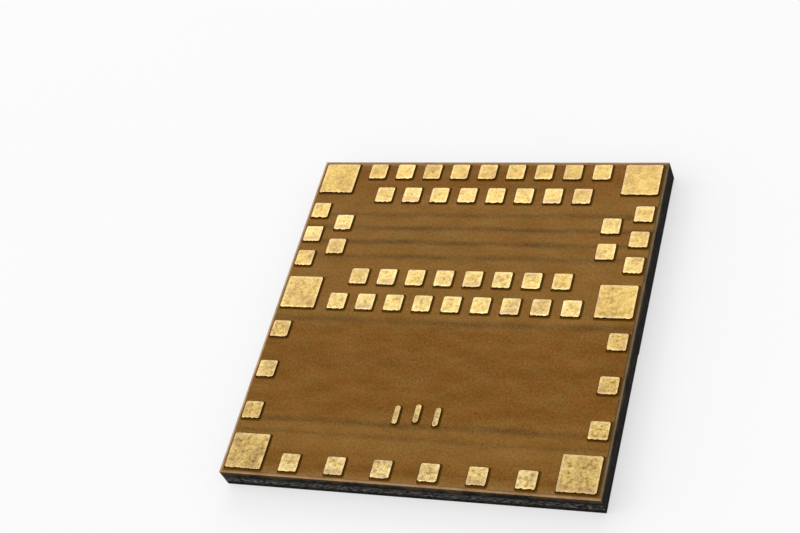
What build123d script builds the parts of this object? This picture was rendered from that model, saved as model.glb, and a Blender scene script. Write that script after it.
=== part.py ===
from build123d import *
import os

os.makedirs("parts", exist_ok=True)

# A land-grid radio module, lying on its shielded face with its solder lands up.
# X runs across the module and Y towards the end with the dense field of lands.
# The origin is on the resting plane, under the middle of the outline.
# All sizes are in millimetres.

# Outline, cut square by the saw
body_width = 8.0
body_depth = 8.0

# Layers, from the resting plane up
shield_thickness = 0.03
mould_thickness = 0.31
part_resist_thickness = 0.02
laminate_thickness = 0.16
land_resist_thickness = 0.02
land_rise = 0.03

# Solder lands
small_land = 0.4
large_land = 0.8
land_margin = 0.1
land_corner = 0.03
land_pitch = 0.65
near_land_pitch = 1.0
dense_field_depth = 3.9
window_gap = 0.015
resist_pullback = 0.05

# Three short bars between the land rows, over the antenna
bar_count = 3
bar_width = 0.12
bar_length = 0.42
bar_pitch = 0.435
bar_near_gap = 1.53
bar_row_x = -0.08
middle_bar_step = 0.05

# Ground vias, one under each large land of the dense field
via_diameter = 0.1
via_offset = 0.2

# Shield coat, its conductive wall through the mould, and the first-land mark in the coat
shield_depth = 4.47
shield_wall_thickness = 0.12
shield_wall_end_gap = 0.15
feed_gap = 0.6
mark_diameter = 0.7
mark_side_gap = 1.08
mark_far_gap = 0.71
mark_line = 0.035
mark_line_pitch = 0.09
mark_depth = 0.015

# Copper on the parts side of the laminate
copper_thickness = 0.012
copper_edge_gap = 0.15
copper_clearance = 0.08

# Antenna, a copper meander clear of the ground copper and of the near lands
antenna_width = 0.2
antenna_pitch = 0.7
antenna_side_gap = 0.6
antenna_near_gap = 0.5
feed_link_gap = 0.2
feed_link_step = 0.45

# Parts under the mould
part_gap = 0.25
solder_height = 0.02
chip_width = 2.4
chip_depth = 2.4
chip_height = 0.16
chip_x = -0.4
chip_far_gap = 0.4
bump_size = 0.2
bump_height = 0.05
bump_pitch = 0.45
bump_rows = 5
crystal_base_height = 0.18
crystal_lid_height = 0.06
crystal_lid_inset = 0.09
crystal_pad_width = 0.3
crystal_pad_depth = 0.35
fast_crystal_width = 1.6
fast_crystal_depth = 1.2
slow_crystal_width = 1.0
slow_crystal_depth = 1.6
passive_width = 0.3
passive_length = 0.6
passive_height = 0.24
passive_end_length = 0.15
passive_end_wall = 0.015
column_pitch = 0.85
column_count = 3
row_pitch = 0.6
row_count = 6
load_pitch = 0.6
inductor_pitch = 0.8
filter_width = 1.0
filter_depth = 0.5
filter_height = 0.24
filter_terminal = 0.22

# Heights of the faces between the layers
mould_face = shield_thickness
part_resist_face = mould_face + mould_thickness
laminate_bottom = part_resist_face + part_resist_thickness
laminate_top = laminate_bottom + laminate_thickness
copper_face = laminate_bottom - copper_thickness
land_height = land_resist_thickness + land_rise
part_seat = part_resist_face - solder_height
chip_seat = part_resist_face - bump_height

# Edges and lines of lands
side_x = body_width / 2
far_y = body_depth / 2
anchor_x = side_x - land_margin - large_land / 2
outer_land_x = side_x - land_margin - small_land / 2
far_anchor_y = far_y - land_margin - large_land / 2
near_anchor_y = -far_anchor_y
far_land_y = far_y - land_margin - small_land / 2
field_near_y = far_y - land_margin - dense_field_depth
middle_anchor_y = field_near_y + large_land / 2
middle_land_y = field_near_y + small_land / 2
land_gap = land_pitch - small_land
land_reach = large_land / 2 + land_gap + small_land / 2
shield_edge_y = far_y - shield_depth


def spaced(count, pitch, centre=0.0):
    """Give the places of a row, evenly about its centre."""
    return [centre + (i - (count - 1) / 2) * pitch for i in range(count)]


def fitting(low, high, pitch):
    """Count the lands that fit at a pitch between two large lands."""
    return 1 + int((high - low - 2 * land_reach) / pitch + 1e-6)


# Where the lands lie. Each row of small lands fills the space between two large ones,
# and an inner row is set half a pitch along, with one land fewer.
far_count = fitting(-anchor_x, anchor_x, land_pitch)
side_count = fitting(middle_anchor_y, far_anchor_y, land_pitch)
near_side_count = fitting(near_anchor_y, middle_anchor_y, near_land_pitch)
near_row_count = fitting(-anchor_x, anchor_x, near_land_pitch)
dense_side_y = (middle_anchor_y + far_anchor_y) / 2
near_side_y = (near_anchor_y + middle_anchor_y) / 2
inner_land_x = outer_land_x - land_pitch

small_rows = {
    "far_outer_lands": [(x, far_land_y) for x in spaced(far_count, land_pitch)],
    "far_inner_lands": [(x, far_land_y - land_pitch) for x in spaced(far_count - 1, land_pitch)],
    "side_outer_lands": [
        (side * outer_land_x, y)
        for side in (-1, 1)
        for y in spaced(side_count, land_pitch, dense_side_y)
    ],
    "side_inner_lands": [
        (side * inner_land_x, y)
        for side in (-1, 1)
        for y in spaced(side_count - 1, land_pitch, dense_side_y)
    ],
    "middle_inner_lands": [
        (x, middle_land_y + land_pitch) for x in spaced(far_count - 1, land_pitch)
    ],
    "middle_outer_lands": [(x, middle_land_y) for x in spaced(far_count, land_pitch)],
    "near_side_lands": [
        (side * outer_land_x, y)
        for side in (-1, 1)
        for y in spaced(near_side_count, near_land_pitch, near_side_y)
    ],
    "near_row_lands": [(x, -far_land_y) for x in spaced(near_row_count, near_land_pitch)],
}
large_places = [
    (side * anchor_x, y)
    for side in (-1, 1)
    for y in (near_anchor_y, middle_anchor_y, far_anchor_y)
]
land_rows = {"anchor_lands": (large_land, large_places)}
for name, places in small_rows.items():
    land_rows[name] = (small_land, places)

# Solder lands: thick plated copper with corners that the etch has taken off
for name, (size, places) in land_rows.items():
    with BuildPart() as lands:
        with BuildSketch(Plane.XY.offset(laminate_top)) as outline:
            with Locations(*places):
                Rectangle(size, size)
            chamfer(outline.vertices(), length=land_corner)
        extrude(amount=land_height)
    lands.part.label = name
    export_step(lands.part, f"parts/{name}.step")

# Bars, the middle one set a little towards the dense field
bar_row_y = -far_y + bar_near_gap
bar_places = [
    (x, bar_row_y + (middle_bar_step if i == bar_count // 2 else 0))
    for i, x in enumerate(spaced(bar_count, bar_pitch, bar_row_x))
]
with BuildPart() as tuning_bars:
    with BuildSketch(Plane.XY.offset(laminate_top)):
        with Locations(*bar_places):
            SlotOverall(bar_length, bar_width, rotation=90)
    extrude(amount=land_height)
tuning_bars.part.label = "tuning_bars"
export_step(tuning_bars.part, "parts/tuning_bars.step")

# Resist on the land side, open round every land and stopping short of the saw cut
with BuildPart() as land_side_resist:
    with BuildSketch(Plane.XY.offset(laminate_top)):
        Rectangle(body_width - 2 * resist_pullback, body_depth - 2 * resist_pullback)
    extrude(amount=land_resist_thickness)
    with BuildSketch(Plane.XY.offset(laminate_top)) as windows:
        for size, places in land_rows.values():
            with Locations(*places):
                Rectangle(size + 2 * window_gap, size + 2 * window_gap)
        chamfer(windows.vertices(), length=land_corner)
        with Locations(*bar_places):
            SlotOverall(bar_length + 2 * window_gap, bar_width + 2 * window_gap, rotation=90)
    extrude(amount=land_resist_thickness, mode=Mode.SUBTRACT)
land_side_resist.part.label = "land_side_resist"
export_step(land_side_resist.part, "parts/land_side_resist.step")

# Laminate, drilled for the ground vias under the large lands of the dense field
via_places = [
    (side * (anchor_x + via_offset), y)
    for side in (-1, 1)
    for y in (middle_anchor_y, far_anchor_y)
]
with BuildPart() as laminate:
    with BuildSketch(Plane.XY.offset(laminate_bottom)):
        Rectangle(body_width, body_depth)
        with Locations(*via_places):
            Circle(via_diameter / 2, mode=Mode.SUBTRACT)
    extrude(amount=laminate_thickness)
laminate.part.label = "laminate"
export_step(laminate.part, "parts/laminate.step")

with BuildPart() as ground_vias:
    with BuildSketch(Plane.XY.offset(laminate_bottom)):
        with Locations(*via_places):
            Circle(via_diameter / 2)
    extrude(amount=laminate_thickness)
ground_vias.part.label = "ground_vias"
export_step(ground_vias.part, "parts/ground_vias.step")

# Where the parts sit. They hang from the chip's far edge and stand beside it,
# a part gap from each other, and the resting side of each faces the laminate.
chip_far_y = far_y - chip_far_gap
chip_y = chip_far_y - chip_depth / 2
chip_near_y = chip_far_y - chip_depth
left_column_x = chip_x - chip_width / 2 - part_gap - passive_width / 2
right_column_x = chip_x + chip_width / 2 + part_gap + passive_width / 2
slow_crystal_x = left_column_x - passive_width / 2 - part_gap - slow_crystal_width / 2
slow_crystal_y = chip_far_y - slow_crystal_depth / 2
fast_crystal_x = right_column_x + passive_width / 2 + part_gap + fast_crystal_width / 2
fast_crystal_y = chip_far_y - fast_crystal_depth / 2
load_y = slow_crystal_y - slow_crystal_depth / 2 - part_gap - passive_length / 2
near_capacitor_y = chip_near_y - part_gap - passive_length / 2
inductor_y = fast_crystal_y - fast_crystal_depth / 2 - part_gap - passive_length / 2
filter_y = inductor_y - passive_length / 2 - part_gap - filter_depth / 2
feed_y = filter_y - filter_depth / 2 - part_gap - passive_length / 2

capacitor_places = [(x, near_capacitor_y) for x in spaced(row_count, row_pitch, chip_x)]
capacitor_places += [(left_column_x, y) for y in spaced(column_count, column_pitch, chip_y)]
capacitor_places += [(right_column_x, y) for y in spaced(column_count, column_pitch, chip_y)]
capacitor_places += [(x, load_y) for x in spaced(2, load_pitch, slow_crystal_x)]
inductor_places = [(x, inductor_y) for x in spaced(2, inductor_pitch, fast_crystal_x)]
inductor_places += [(fast_crystal_x, feed_y)]
passive_places = capacitor_places + inductor_places
end_step = passive_length / 2 - passive_end_length / 2
bump_steps = spaced(bump_rows, bump_pitch)
bump_places = [(chip_x + x, chip_y + y) for x in bump_steps for y in bump_steps]
crystals = {
    "fast_crystal": (fast_crystal_x, fast_crystal_y, fast_crystal_width, fast_crystal_depth),
    "slow_crystal": (slow_crystal_x, slow_crystal_y, slow_crystal_width, slow_crystal_depth),
}


def crystal_corners(x, y, width, depth):
    """Give the places of a crystal's four pads."""
    across = width / 2 - crystal_pad_width / 2
    along = depth / 2 - crystal_pad_depth / 2
    return [(x + i * across, y + j * along) for i in (-1, 1) for j in (-1, 1)]


def draw_joints():
    """Draw the footprint of every soldered terminal but the chip's."""
    with Locations(*passive_places):
        with Locations((0, -end_step), (0, end_step)):
            Rectangle(passive_width, passive_end_length)
    for crystal in crystals.values():
        with Locations(*crystal_corners(*crystal)):
            Rectangle(crystal_pad_width, crystal_pad_depth)
    with Locations((fast_crystal_x, filter_y)):
        for side in (-1, 1):
            with Locations((side * (filter_width - filter_terminal) / 2, 0)):
                Rectangle(filter_terminal, filter_depth)


# Radio chip, face down on its solder bumps
with BuildPart() as radio_chip:
    with BuildSketch(Plane.XY.offset(chip_seat)):
        with Locations((chip_x, chip_y)):
            Rectangle(chip_width, chip_depth)
    extrude(amount=-chip_height)
radio_chip.part.label = "radio_chip"
export_step(radio_chip.part, "parts/radio_chip.step")

with BuildPart() as chip_bumps:
    with BuildSketch(Plane.XY.offset(chip_seat)):
        with Locations(*bump_places):
            Rectangle(bump_size, bump_size)
    extrude(amount=copper_face - chip_seat)
chip_bumps.part.label = "chip_bumps"
export_step(chip_bumps.part, "parts/chip_bumps.step")

# Crystals: a ceramic base on four pads, closed by a thin metal lid
crystal_pieces = []
for name, (x, y, width, depth) in crystals.items():
    with BuildPart() as base:
        with BuildSketch(Plane.XY.offset(part_seat)):
            with Locations((x, y)):
                Rectangle(width, depth)
        extrude(amount=-crystal_base_height)
    base.part.label = f"{name}_base"
    export_step(base.part, f"parts/{name}_base.step")

    with BuildPart() as lid:
        with BuildSketch(Plane.XY.offset(part_seat - crystal_base_height)):
            with Locations((x, y)):
                Rectangle(width - 2 * crystal_lid_inset, depth - 2 * crystal_lid_inset)
        extrude(amount=-crystal_lid_height)
    lid.part.label = f"{name}_lid"
    export_step(lid.part, f"parts/{name}_lid.step")
    crystal_pieces += [base.part, lid.part]

# Capacitors and inductors: a ceramic block with a metal cup over each end
passives = {"capacitor": capacitor_places, "inductor": inductor_places}
passive_pieces = []
for name, places in passives.items():
    with BuildPart() as blocks:
        with BuildSketch(Plane.XY.offset(part_seat - passive_end_wall)):
            with Locations(*places):
                Rectangle(passive_width - 2 * passive_end_wall, passive_length - 2 * passive_end_wall)
        extrude(amount=2 * passive_end_wall - passive_height)
    blocks.part.label = f"{name}_blocks"
    export_step(blocks.part, f"parts/{name}_blocks.step")

    with BuildPart() as ends:
        with BuildSketch(Plane.XY.offset(part_seat)):
            with Locations(*places):
                with Locations((0, -end_step), (0, end_step)):
                    Rectangle(passive_width, passive_end_length)
        extrude(amount=-passive_height)
        add(blocks.part, mode=Mode.SUBTRACT)
    ends.part.label = f"{name}_ends"
    export_step(ends.part, f"parts/{name}_ends.step")
    passive_pieces += [blocks.part, ends.part]

# Filter between the chip and the antenna
with BuildPart() as matching_filter:
    with BuildSketch(Plane.XY.offset(part_seat)):
        with Locations((fast_crystal_x, filter_y)):
            Rectangle(filter_width, filter_depth)
    extrude(amount=-filter_height)
matching_filter.part.label = "matching_filter"
export_step(matching_filter.part, "parts/matching_filter.step")

# Solder between the pads and the parts
with BuildPart() as solder_joints:
    with BuildSketch(Plane.XY.offset(part_seat)):
        draw_joints()
    extrude(amount=copper_face - part_seat)
solder_joints.part.label = "solder_joints"
export_step(solder_joints.part, "parts/solder_joints.step")

# Copper pads under the parts and under the chip's bumps
with BuildPart() as solder_pads:
    with BuildSketch(Plane.XY.offset(copper_face)):
        draw_joints()
        with Locations(*bump_places):
            Rectangle(bump_size, bump_size)
    extrude(amount=copper_thickness)
solder_pads.part.label = "solder_pads"
export_step(solder_pads.part, "parts/solder_pads.step")

# Antenna: a feed from under the shielded end, a link to one side, then a meander
# that fills the bare end between the side lands
feed_start_y = feed_y - passive_length / 2 - copper_clearance
feed_link_y = shield_edge_y - feed_link_gap
antenna_ends_y = (
    feed_link_y - feed_link_step,
    -far_land_y + small_land / 2 + antenna_near_gap + antenna_width / 2,
)
antenna_reach = outer_land_x - small_land / 2 - antenna_side_gap - antenna_width / 2
antenna_run_count = 1 + int(2 * antenna_reach / antenna_pitch + 1e-6)
antenna_run_places = spaced(antenna_run_count, antenna_pitch)[::-1]
antenna_points = [
    (fast_crystal_x, feed_start_y),
    (fast_crystal_x, feed_link_y),
    (antenna_run_places[0], feed_link_y),
]
for i, x in enumerate(antenna_run_places):
    antenna_points += [(x, antenna_ends_y[(i + 1) % 2])]
    if i + 1 < antenna_run_count:
        antenna_points += [(antenna_run_places[i + 1], antenna_ends_y[(i + 1) % 2])]
with BuildPart() as antenna_track:
    with BuildSketch(Plane.XY.offset(copper_face)):
        with BuildLine():
            Polyline(*antenna_points)
        trace(line_width=antenna_width)
    extrude(amount=copper_thickness)
antenna_track.part.label = "antenna_track"
export_step(antenna_track.part, "parts/antenna_track.step")

# Ground copper over the shielded end, open round the parts' pads and the antenna's feed
copper_near_y = shield_edge_y
copper_far_y = far_y - copper_edge_gap
with BuildPart() as ground_copper:
    with BuildSketch(Plane.XY.offset(copper_face)):
        with Locations((0, (copper_near_y + copper_far_y) / 2)):
            Rectangle(body_width - 2 * copper_edge_gap, copper_far_y - copper_near_y)
        with Locations((chip_x, chip_y)):
            Rectangle(chip_width, chip_depth, mode=Mode.SUBTRACT)
        with Locations(*passive_places):
            Rectangle(
                passive_width + 2 * copper_clearance,
                passive_length + 2 * copper_clearance,
                mode=Mode.SUBTRACT,
            )
        for x, y, width, depth in crystals.values():
            with Locations((x, y)):
                Rectangle(
                    width + 2 * copper_clearance, depth + 2 * copper_clearance, mode=Mode.SUBTRACT
                )
        with Locations((fast_crystal_x, filter_y)):
            Rectangle(
                filter_width + 2 * copper_clearance,
                filter_depth + 2 * copper_clearance,
                mode=Mode.SUBTRACT,
            )
        with Locations((fast_crystal_x, (feed_y + copper_near_y) / 2)):
            Rectangle(
                antenna_width + 2 * copper_clearance, feed_y - copper_near_y, mode=Mode.SUBTRACT
            )
    extrude(amount=copper_thickness)
ground_copper.part.label = "ground_copper"
export_step(ground_copper.part, "parts/ground_copper.step")

# Shield wall: conductive paste in a trench, from the ground copper out to the coat,
# in two lengths that leave room for the antenna's feed
wall_y = shield_edge_y + shield_wall_thickness / 2
wall_ends = (-side_x + shield_wall_end_gap, side_x - shield_wall_end_gap)
feed_sides = (fast_crystal_x - feed_gap / 2, fast_crystal_x + feed_gap / 2)
wall_spans = [(wall_ends[0], feed_sides[0]), (feed_sides[1], wall_ends[1])]
with BuildPart() as shield_wall:
    with BuildSketch(Plane.XY.offset(mould_face)):
        for low, high in wall_spans:
            with Locations(((low + high) / 2, wall_y)):
                Rectangle(high - low, shield_wall_thickness)
    extrude(amount=copper_face - mould_face)
shield_wall.part.label = "shield_wall"
export_step(shield_wall.part, "parts/shield_wall.step")

# Resist on the parts side, over the copper and open at the joints, the bumps and the wall
with BuildPart() as part_side_resist:
    with BuildSketch(Plane.XY.offset(part_resist_face)):
        Rectangle(body_width, body_depth)
    extrude(amount=part_resist_thickness)
    for copper in (ground_copper, antenna_track, solder_pads):
        add(copper.part, mode=Mode.SUBTRACT)
    for piece in (solder_joints, chip_bumps, shield_wall):
        add(piece.part, mode=Mode.SUBTRACT)
part_side_resist.part.label = "part_side_resist"
export_step(part_side_resist.part, "parts/part_side_resist.step")

# Mould over the parts, filled right round each of them
with BuildPart() as mould:
    with BuildSketch(Plane.XY.offset(mould_face)):
        Rectangle(body_width, body_depth)
    extrude(amount=mould_thickness)
    for piece in (radio_chip, chip_bumps, matching_filter, solder_joints, shield_wall):
        add(piece.part, mode=Mode.SUBTRACT)
    for piece in crystal_pieces + passive_pieces:
        add(piece, mode=Mode.SUBTRACT)
mould.part.label = "mould"
export_step(mould.part, "parts/mould.step")

# Shield coat over the parts' end of the mould, with the first-land mark cut into its face:
# a thin ring with lines across it
mark_x = side_x - mark_side_gap
mark_y = far_y - mark_far_gap
mark_radius = mark_diameter / 2
inner_radius = mark_radius - mark_line
line_count = 1 + int(2 * (inner_radius - mark_line) / mark_line_pitch)
with BuildPart() as shield_coat:
    with BuildSketch():
        with Locations((0, (shield_edge_y + far_y) / 2)):
            Rectangle(body_width, shield_depth)
    extrude(amount=shield_thickness)
    with BuildSketch():
        with Locations((mark_x, mark_y)):
            Circle(mark_radius)
            Circle(inner_radius, mode=Mode.SUBTRACT)
    with BuildSketch():
        with Locations((mark_x, mark_y)):
            with Locations(*[(x, 0) for x in spaced(line_count, mark_line_pitch)]):
                Rectangle(mark_line, mark_diameter)
            Circle(mark_radius - mark_line / 2, mode=Mode.INTERSECT)
    extrude(amount=mark_depth, mode=Mode.SUBTRACT)
shield_coat.part.label = "shield_coat"
export_step(shield_coat.part, "parts/shield_coat.step")
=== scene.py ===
import bpy
import bmesh
import math
from functools import partial
from mathutils import Matrix, Vector


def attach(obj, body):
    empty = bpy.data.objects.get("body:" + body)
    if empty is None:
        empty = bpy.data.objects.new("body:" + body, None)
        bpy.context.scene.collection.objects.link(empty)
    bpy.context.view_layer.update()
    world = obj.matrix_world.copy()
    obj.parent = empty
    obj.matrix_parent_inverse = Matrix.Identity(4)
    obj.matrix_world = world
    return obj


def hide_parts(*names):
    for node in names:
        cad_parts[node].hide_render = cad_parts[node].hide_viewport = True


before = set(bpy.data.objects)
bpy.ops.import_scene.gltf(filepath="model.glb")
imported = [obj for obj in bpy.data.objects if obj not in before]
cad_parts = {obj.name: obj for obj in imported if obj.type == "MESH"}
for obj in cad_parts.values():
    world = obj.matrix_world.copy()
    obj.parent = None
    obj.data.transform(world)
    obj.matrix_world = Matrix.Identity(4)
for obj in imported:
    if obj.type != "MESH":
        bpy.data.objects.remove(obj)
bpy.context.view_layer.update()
print("frame loaded,", len(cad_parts), "nodes")

# A land-grid radio module, lying on its shielded face with its solder lands up.
# X runs across it, Y towards the end with the dense field of lands, and Z up.
# Blender works in metres, so every size below is given in millimetres times mm.
mm = 0.001
halfSide = 4 * mm  # half the outline, both ways
sawDepth = 0.01 * mm  # a point within this of the outline is on a sawn side
weldReach = 0.0001 * mm  # the loose triangles of a CAD node are merged within this
# What a Map Range node takes in: most of a noise's values, or the middle ones
wideRange = {"From Min": 0.3, "From Max": 0.7}
narrowRange = {"From Min": 0.35, "From Max": 0.65}


def linear(hexColour):  # sRGB hex to the linear colour that shaders mix
    channels = [int(hexColour[i : i + 2], 16) / 255 for i in (1, 3, 5)]
    return [c / 12.92 if c <= 0.04045 else ((c + 0.055) / 1.055) ** 2.4 for c in channels] + [1]


def addNode(tree, kind, inputs=None, **settings):
    # An input takes a value, a socket, or another node, whose first live output is used
    node = tree.nodes.new(kind)
    for name, value in settings.items():
        setattr(node, name, value)
    for name, value in (inputs or {}).items():
        live = [s for s in node.inputs if s.enabled]
        socket = live[name] if isinstance(name, int) else next(s for s in live if s.name == name)
        if isinstance(value, bpy.types.Node):
            value = next(s for s in value.outputs if s.enabled)
        if isinstance(value, bpy.types.NodeSocket):
            tree.links.new(value, socket)
        else:
            socket.default_value = value
    return node


def setStops(ramp, look, stops):
    # Each stop has its place from 0 to 1, in order, and a colour or the name of one in the look
    elements = ramp.color_ramp.elements
    elements.remove(elements[1])
    for index, (place, colour) in enumerate(stops):
        element = elements.new(place) if index else elements[0]
        element.position = place
        element.color = linear(look[colour]) if colour in look else colour


def startMaterial(name, **constants):
    # A principled surface, with what stays the same all over it set on its own sockets
    material = bpy.data.materials.new(name)
    material.use_nodes = True
    material.node_tree.nodes.clear()
    add = partial(addNode, material.node_tree)
    settings = {key.replace("_", " "): value for key, value in constants.items()}
    surface = add("ShaderNodeBsdfPrincipled", settings)
    add("ShaderNodeOutputMaterial", {"Surface": surface})
    place = add("ShaderNodeTexCoord").outputs["Object"]
    return material, add, surface, place


def drive(node, **sources):
    # Links what varies over a surface to the named sockets of its shader
    for key, source in sources.items():
        live = next(s for s in source.outputs if s.enabled)
        node.id_data.links.new(live, node.inputs[key.replace("_", " ")])


def drawnNoise(add, place, size, detail, roughness=0.5):
    # A noise drawn out to a real size along X, along Y and, where a third is given, along Z
    scale = [1 / s for s in size] + [1] * (3 - len(size))
    drawn = add("ShaderNodeMapping", {"Vector": place, "Scale": scale})
    return add("ShaderNodeTexNoise",
               {"Vector": drawn, "Scale": 1.0, "Detail": detail, "Roughness": roughness})


def outFromMiddle(add, place):
    # The size of a place's X, Y and Z, and how far out it lies along X or Y, whichever is more
    size = add("ShaderNodeVectorMath", {0: place}, operation="ABSOLUTE")
    parts = add("ShaderNodeSeparateXYZ", {"Vector": size}).outputs
    out = add("ShaderNodeMath", {0: parts["X"], 1: parts["Y"]}, operation="MAXIMUM")
    return parts, out


def onSawnSide(add, out):
    # 1 on the four sides that the saw has cut, and 0 elsewhere
    return add("ShaderNodeMapRange",
               {"Value": out, "From Min": halfSide - sawDepth, "From Max": halfSide - sawDepth / 10})


def putInScene(name, data):
    obj = bpy.data.objects.new(name, data)
    bpy.context.scene.collection.objects.link(obj)
    return obj


def mergedMesh(node):
    # A copy of a CAD node's mesh, with its triangles joined
    mesh = bmesh.new()
    mesh.from_mesh(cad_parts[node].data)
    bmesh.ops.remove_doubles(mesh, verts=mesh.verts, dist=weldReach)
    return mesh


# Gold lands. Each is dealt a chance that sets its shade. A shuffle turns it into another chance,
# and the lands where that is above the least value have the mark.
viaShuffle = 23  # for a filled via under the middle
viaLeast = 0.5
rubShuffle = 61  # for a rubbed near side
rubLeast = 0.8


def otherChance(add, chance, shuffle):
    turns = add("ShaderNodeMath", {0: chance, 1: shuffle}, operation="MULTIPLY")
    return add("ShaderNodeMath", {0: turns}, operation="FRACT")


goldLook = {
    "bright": "#F3D894",  # where a grain faces the light
    "base": "#DEBC6C",
    "dull": "#94713D",  # painted shade between the grains
    "tarnish": "#C79A66",  # tan, where flux has dulled the plating
    "pale": "#E6CD8C",  # thin plating, on some lands more than on others
    "paleMost": 0.45,
    "probeDot": 0.045 * mm,  # radius of the mark that a test probe leaves on the filled vias
    "probeCore": 0.3,  # the part of that radius where the mark is full
    "probeShare": 0.35,
    "edgeWidth": 0.07 * mm,
    "edgeHighlightGain": 1.14,  # painted highlight, brighter along the edges
    "rim": "#F6E6C0",  # cream, where the painted highlight is strongest
    "rimHighlightShare": 0.3,
    "flankShade": "#82580F",  # painted shade on the undercut sides
    "flankTop": 0.563 * mm,  # height at which the painted shade of the flanks gives way to the bright edge
    "flankDeep": 0.557 * mm,
    "grain": 0.075 * mm,
    "fineGrain": 0.03 * mm,
    "grainHeight": 0.006 * mm,
    "farGrain": 0.4,  # how much of the grain's shades shows at the far end
    "nearGrain": 0.95,
    "grainPlaces": (-3.6 * mm, 3.0 * mm),  # where along Y it starts and ends its change
    "patch": 0.4 * mm,
    "patchSpread": 0.09,  # the tarnished patches are darker, and what lies between them lighter
    "tarnishMost": 0.6,
    "landSpread": 0.14,  # how much one land is lighter or darker than the next
    "nearShade": 0.86,  # painted shade: the near end's lands are darker all over, where less light falls
    "shadePlaces": (-3.7 * mm, -0.8 * mm),
    # On some of the pale lands the near side has been rubbed to a pinkish matt
    "rubbed": "#C4A578",
    "rubbedReach": 0.15 * mm,
    "rubbedFade": 1.6,  # it has gone at this many times its reach
    "rubbedShare": 0.8,
    "rubbedLeast": 0.74,  # a land with a lower shade chance isn't pale enough for it
    "smoothest": 0.34,
    "roughest": 0.5,
    "lightest": 0.97,  # the metal's colour is kept under this
}


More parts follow.
